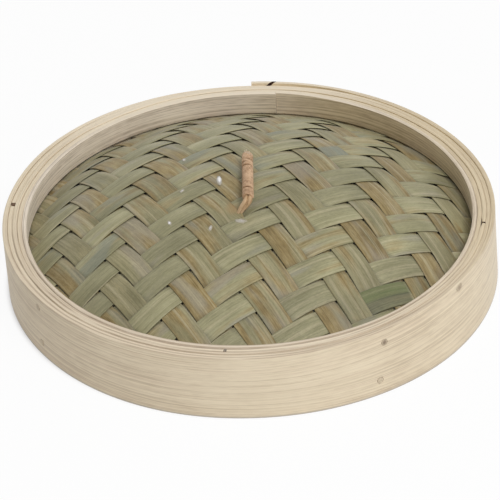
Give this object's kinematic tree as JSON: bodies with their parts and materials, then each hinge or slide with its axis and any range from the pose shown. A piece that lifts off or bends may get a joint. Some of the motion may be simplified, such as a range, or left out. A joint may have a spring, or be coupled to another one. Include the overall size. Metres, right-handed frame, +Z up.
{
  "type": "bamboo steamer lid",
  "caption": "Round bamboo steamer lid: a rim of bent hoops holding a domed twill weave of flat strips, with a low wrapped cane handle that rocks at the crown.",
  "frame": {"origin": "centre of the rim's bottom edge, on the lid's axis", "axes": "+Z up along the lid's axis, +Y away from the picture's camera, +X to its right; the handle's bar lies nearly along Y"},
  "size_m": [0.254, 0.2539, 0.0641],
  "materials": {
    "hoop_bamboo": "smooth, unvarnished, fine lengthwise grain",
    "ring_bamboo": "smooth, unvarnished, fine lengthwise grain",
    "peg_bamboo": "cut end grain",
    "warp_bamboo": "split strip, dry satin",
    "weft_bamboo": "split strip, dry satin",
    "bail_cane": "round cane, satin",
    "wrap_cane": "split cane, satin"
  },
  "bodies": {
    "lid": {"outer_hoop": "hoop_bamboo", "second_hoop": "hoop_bamboo", "middle_hoop": "hoop_bamboo", "inner_hoop": "hoop_bamboo", "upper_clamp_ring": "ring_bamboo", "lower_clamp_ring": "ring_bamboo", "upper_pegs": "peg_bamboo", "lower_pegs": "peg_bamboo", "lap_pegs": "peg_bamboo", "warp_strip_01": "warp_bamboo", "warp_strip_02": "warp_bamboo", "warp_strip_03": "warp_bamboo", "warp_strip_04": "warp_bamboo", "warp_strip_05": "warp_bamboo", "warp_strip_06": "warp_bamboo", "warp_strip_07": "warp_bamboo", "warp_strip_08": "warp_bamboo", "warp_strip_09": "warp_bamboo", "warp_strip_10": "warp_bamboo", "warp_strip_11": "warp_bamboo", "warp_strip_12": "warp_bamboo", "warp_strip_13": "warp_bamboo", "warp_strip_14": "warp_bamboo", "warp_strip_15": "warp_bamboo", "warp_strip_16": "warp_bamboo", "warp_strip_17": "warp_bamboo", "warp_strip_18": "warp_bamboo", "weft_strip_01": "weft_bamboo", "weft_strip_02": "weft_bamboo", "weft_strip_03": "weft_bamboo", "weft_strip_04": "weft_bamboo", "weft_strip_05": "weft_bamboo", "weft_strip_06": "weft_bamboo", "weft_strip_07": "weft_bamboo", "weft_strip_08": "weft_bamboo", "weft_strip_09": "weft_bamboo", "weft_strip_10": "weft_bamboo", "weft_strip_11": "weft_bamboo", "weft_strip_12": "weft_bamboo", "weft_strip_13": "weft_bamboo", "weft_strip_14": "weft_bamboo", "weft_strip_15": "weft_bamboo", "weft_strip_16": "weft_bamboo", "weft_strip_17": "weft_bamboo", "weft_strip_18": "weft_bamboo"},
    "handle": {"handle_bail": "bail_cane", "handle_wrap": "wrap_cane"}
  },
  "joints": [
    {"name": "handle_swing", "type": "hinge", "parent": "lid", "child": "handle", "pos_m": [-0.00157, -0.00436, 0.05345], "axis": [0.0643, 0.9977, 0.0225], "range_deg": [-25, 25]}
  ]
}
